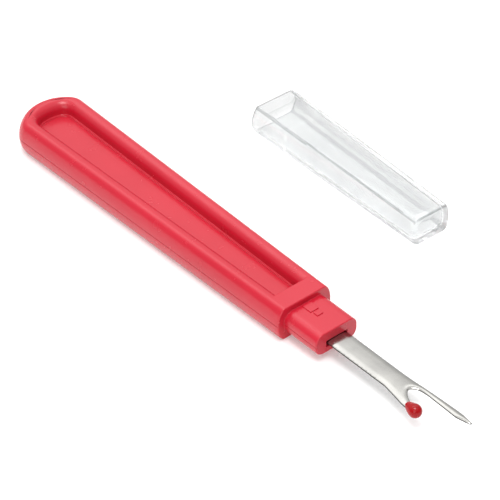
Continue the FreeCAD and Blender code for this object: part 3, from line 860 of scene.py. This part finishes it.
def add_bump(tree, shader, value, strength, distance, before=None):
    """Bump from a value, on top of an earlier bump where there is one."""
    bump = tree.nodes.new("ShaderNodeBump")
    bump.inputs["Strength"].default_value = strength
    bump.inputs["Distance"].default_value = distance
    tree.links.new(value, bump.inputs["Height"])
    if before is not None:
        tree.links.new(before, bump.inputs["Normal"])
    tree.links.new(bump.outputs["Normal"], shader.inputs["Normal"])
    return bump.outputs["Normal"]


def red_plastic():
    """Moulded red plastic: a fine mould grain, slow colour drift and a soft gloss."""
    material, tree, shader = new_material("red_plastic")
    drift = object_noise(tree, scale=60.0, detail=3.0)
    tree.links.new(drifting_colour(tree, drift, HANDLE_RED), shader.inputs["Base Color"])
    blotch = object_noise(tree, scale=350.0, detail=4.0)
    tree.links.new(remap(tree, blotch, low=0.20, high=0.28), shader.inputs["Roughness"])
    grain = object_noise(tree, scale=4500.0, detail=3.0)
    fine = add_bump(tree, shader, grain, strength=0.1, distance=0.00002)
    waves = object_noise(tree, scale=140.0, detail=2.0, stretch=(0.35, 1.0, 1.0))
    add_bump(tree, shader, waves, strength=0.25, distance=0.0002, before=fine)
    return material


def small_pits(tree):
    """One where the steel is whole and a quarter in a few small pits."""
    place = tree.nodes.new("ShaderNodeTexCoord")
    cells = add_node(tree, "ShaderNodeTexVoronoi", Scale=240.0)
    tree.links.new(place.outputs["Object"], cells.inputs["Vector"])
    return remap(tree, cells.outputs["Distance"], low=0.25, high=1.0, start=0.03, stop=0.07)


def blade_steel():
    """Bright stamped steel: lengthwise rolling marks, dull patches and a few pits."""
    material, tree, shader = new_material("blade_steel")
    shader.inputs["Metallic"].default_value = 1.0
    drift = object_noise(tree, scale=220.0, detail=4.0)
    pits = small_pits(tree)
    colour = multiply(tree, drifting_colour(tree, drift, BRIGHT_STEEL), pits)
    tree.links.new(colour, shader.inputs["Base Color"])
    lines = object_noise(tree, scale=1500.0, detail=3.0, stretch=(0.06, 1.0, 1.0))
    tree.links.new(remap(tree, lines, low=0.13, high=0.22), shader.inputs["Roughness"])
    fine = add_bump(tree, shader, lines, strength=0.1, distance=0.00001)
    add_bump(tree, shader, pits, strength=0.4, distance=0.00005, before=fine)
    return material


def sheared_steel_and_shade():
    """The stamping's sheared edges: dull and grained through the thickness, and dark partly from that
    finish and partly as painted shade.
    """
    material, tree, shader = new_material("sheared_steel_and_shade")
    shader.inputs["Metallic"].default_value = 1.0
    grain = object_noise(tree, scale=2500.0, detail=3.0, stretch=(1.0, 1.0, 0.2))
    tree.links.new(drifting_colour(tree, grain, DARK_STEEL_AND_SHADE), shader.inputs["Base Color"])
    tree.links.new(remap(tree, grain, low=0.4, high=0.6), shader.inputs["Roughness"])
    add_bump(tree, shader, grain, strength=0.3, distance=0.00003)
    return material


def bead_plastic():
    """Dipped glossy red plastic with slight colour drift."""
    material, tree, shader = new_material("bead_plastic")
    shader.inputs["Specular IOR Level"].default_value = 0.3
    drift = object_noise(tree, scale=500.0, detail=2.0)
    tree.links.new(drifting_colour(tree, drift, BEAD_RED), shader.inputs["Base Color"])
    tree.links.new(remap(tree, drift, low=0.06, high=0.1), shader.inputs["Roughness"])
    waves = object_noise(tree, scale=900.0, detail=2.0)
    add_bump(tree, shader, waves, strength=0.08, distance=0.00005)
    return material


def shade_at_mouth(tree):
    """A grey factor of painted shade on the upper wall by the cap's mouth, and one everywhere else."""
    place = tree.nodes.new("ShaderNodeTexCoord")
    split = tree.nodes.new("ShaderNodeSeparateXYZ")
    tree.links.new(place.outputs["Object"], split.inputs["Vector"])
    start, stop = [(CAP_X + distance) * MM for distance in MOUTH_SHADE_ENDS]
    along = remap(tree, split.outputs["X"], low=MOUTH_SHADE, high=1.0, start=start, stop=stop)
    start, stop = [height * MM for height in MOUTH_SHADE_RISES]
    below = remap(tree, split.outputs["Z"], low=1.0, high=0.0, start=start, stop=stop)
    larger = tree.nodes.new("ShaderNodeMath")
    larger.operation = "MAXIMUM"
    tree.links.new(along, larger.inputs[0])
    tree.links.new(below, larger.inputs[1])
    return larger.outputs["Value"]


def clear_plastic(name, colours, alpha, gloss):
    """Clear moulded plastic with faint flow marks, fine scuffs and painted shade on the upper wall by the
    mouth.
    """
    material, tree, shader = new_material(name)
    shader.inputs["Transmission Weight"].default_value = 1.0
    shader.inputs["IOR"].default_value = 1.4
    shader.inputs["Alpha"].default_value = alpha
    shader.inputs["Specular IOR Level"].default_value = gloss
    drift = object_noise(tree, scale=90.0, detail=2.0)
    colour = multiply(tree, drifting_colour(tree, drift, colours), shade_at_mouth(tree))
    tree.links.new(colour, shader.inputs["Base Color"])
    scuffs = object_noise(tree, scale=700.0, detail=4.0)
    tree.links.new(remap(tree, scuffs, low=0.0, high=0.06), shader.inputs["Roughness"])
    flow = object_noise(tree, scale=160.0, detail=2.0, stretch=(0.2, 1.0, 1.0))
    add_bump(tree, shader, flow, strength=0.01, distance=0.0001)
    return material


def floor_material():
    """A pale, faintly lit table, as plain as a light tent's sweep."""
    material, tree, shader = new_material("pale_table")
    shader.inputs["Base Color"].default_value = TABLE_GREY
    shader.inputs["Emission Color"].default_value = (1.0, 1.0, 1.0, 1.0)
    shader.inputs["Emission Strength"].default_value = TABLE_GLOW
    drift = object_noise(tree, scale=30.0, detail=2.0)
    tree.links.new(remap(tree, drift, low=0.55, high=0.6), shader.inputs["Roughness"])
    return material


# ---------------------------------------------------------------- scene

FLOOR_SIZE = 6.0
# The camera's heading and height in degrees, what it looks at in millimetres, and how far off.
AZIMUTH = 49.24
ELEVATION = 39.5
TARGET = (-20.74, 4.94, 4.0)
CAMERA_DISTANCE = 639.9
FOCAL_LENGTH = 216.0
SENSOR_WIDTH = 36.0
# Square lights that point at the origin: name, place, size and power.
LIGHTS = (
    ("overhead", (0.03, -0.10, 0.6), 0.25, 1.65),
    ("fill", (0.40, -0.60, 0.36), 0.5, 1.4),
)


def add_floor():
    """The pale table under everything."""
    bpy.ops.mesh.primitive_plane_add(size=FLOOR_SIZE, location=(0.0, 0.0, 0.0))
    floor = bpy.context.object
    floor.name = "table"
    floor.data.materials.append(floor_material())


def add_camera():
    """A long lens at the photograph's viewing angle."""
    azimuth = math.radians(AZIMUTH)
    elevation = math.radians(ELEVATION)
    back = Vector((math.sin(azimuth) * math.cos(elevation), -math.cos(azimuth) * math.cos(elevation),
                   math.sin(elevation)))
    data = bpy.data.cameras.new("camera")
    data.lens = FOCAL_LENGTH
    data.sensor_width = SENSOR_WIDTH
    data.clip_start = 0.01
    camera = bpy.data.objects.new("camera", data)
    camera.location = Vector(TARGET) * MM + back * (CAMERA_DISTANCE * MM)
    camera.rotation_euler = back.to_track_quat("Z", "Y").to_euler()
    bpy.context.scene.collection.objects.link(camera)
    bpy.context.scene.camera = camera


def add_area_light(name, position, size, power):
    """A soft square light that points at the origin."""
    data = bpy.data.lights.new(name, "AREA")
    data.shape = "SQUARE"
    data.size = size
    data.energy = power
    light = bpy.data.objects.new(name, data)
    light.location = position
    light.rotation_euler = Vector(position).to_track_quat("Z", "Y").to_euler()
    bpy.context.scene.collection.objects.link(light)


# Brightness of the studio by the sine of the angle above the horizon: a dim room, and the bright
# wall that stands on one side of it, in the direction BRIGHT_SIDE.
ROOM = ((0.0, 0.4), (0.3, 0.42), (0.55, 0.5), (0.75, 1.1), (1.0, 1.3))
WALL = ((0.0, 0.6), (0.3, 0.8), (0.55, 1.15), (0.66, 1.4), (0.76, 2.7), (0.86, 2.7), (1.0, 1.5))
SKY_TOP = 3.0
BRIGHT_SIDE = (-0.93, 0.37, 0.0)
WALL_EDGE = (0.3, 0.5)


def sky_ramp(tree, height, levels):
    """Grey levels by height, in one colour ramp."""
    ramp = tree.nodes.new("ShaderNodeValToRGB")
    stops = ramp.color_ramp.elements
    for sine, _ in levels[1:-1]:
        stops.new(sine)
    for stop, (_, level) in zip(stops, levels):
        grey = level / SKY_TOP
        stop.color = (grey, grey, grey, 1.0)
    tree.links.new(height, ramp.inputs["Fac"])
    return ramp.outputs["Color"]


def add_world():
    """A plain studio room with one bright wall."""
    world = bpy.data.worlds.new("studio")
    world.use_nodes = True
    tree = world.node_tree
    place = tree.nodes.new("ShaderNodeTexCoord")
    split = tree.nodes.new("ShaderNodeSeparateXYZ")
    tree.links.new(place.outputs["Generated"], split.inputs["Vector"])
    toward = tree.nodes.new("ShaderNodeVectorMath")
    toward.operation = "DOT_PRODUCT"
    toward.inputs[1].default_value = BRIGHT_SIDE
    tree.links.new(place.outputs["Generated"], toward.inputs[0])
    mix = tree.nodes.new("ShaderNodeMix")
    mix.data_type = "RGBA"
    tree.links.new(remap(tree, toward.outputs["Value"], 0.0, 1.0, *WALL_EDGE), mix.inputs[0])
    tree.links.new(sky_ramp(tree, split.outputs["Z"], ROOM), mix.inputs[6])
    tree.links.new(sky_ramp(tree, split.outputs["Z"], WALL), mix.inputs[7])
    tree.links.new(mix.outputs[2], tree.nodes["Background"].inputs["Color"])
    tree.nodes["Background"].inputs["Strength"].default_value = SKY_TOP
    bpy.context.scene.world = world


def main():
    """Replace every CAD node by its detailed piece, then light and frame the scene."""
    clear = clear_plastic("clear_plastic", CLEAR_WALL, alpha=0.8, gloss=0.1)
    # The edge material is darker: painted shade along the cap's rounded edges and the dimple's slope.
    clear_shaded_edge = clear_plastic("clear_plastic_shaded_edge", CLEAR_EDGE_SHADE, alpha=0.85, gloss=0.0)
    pieces = (
        (make_handle(), "handle", "tool", (red_plastic(),)),
        (make_blade(), "blade", "tool", (blade_steel(), sheared_steel_and_shade())),
        (make_bead(), "bead", "tool", (bead_plastic(),)),
        (make_cap(), "cap", "cap", (clear, clear_shaded_edge)),
    )
    for piece, node, body, materials in pieces:
        for slot, material in enumerate(materials):
            if slot < len(piece.data.materials):
                piece.data.materials[slot] = material
            else:
                piece.data.materials.append(material)
        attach(piece, body)
        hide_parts(node)
        # Light passes through the clear cap, so it throws no shadow.
        piece.visible_shadow = node != "cap"
    add_floor()
    add_camera()
    add_world()
    for name, position, size, power in LIGHTS:
        add_area_light(name, position, size, power)
    bpy.context.scene.view_settings.view_transform = "Standard"


main()
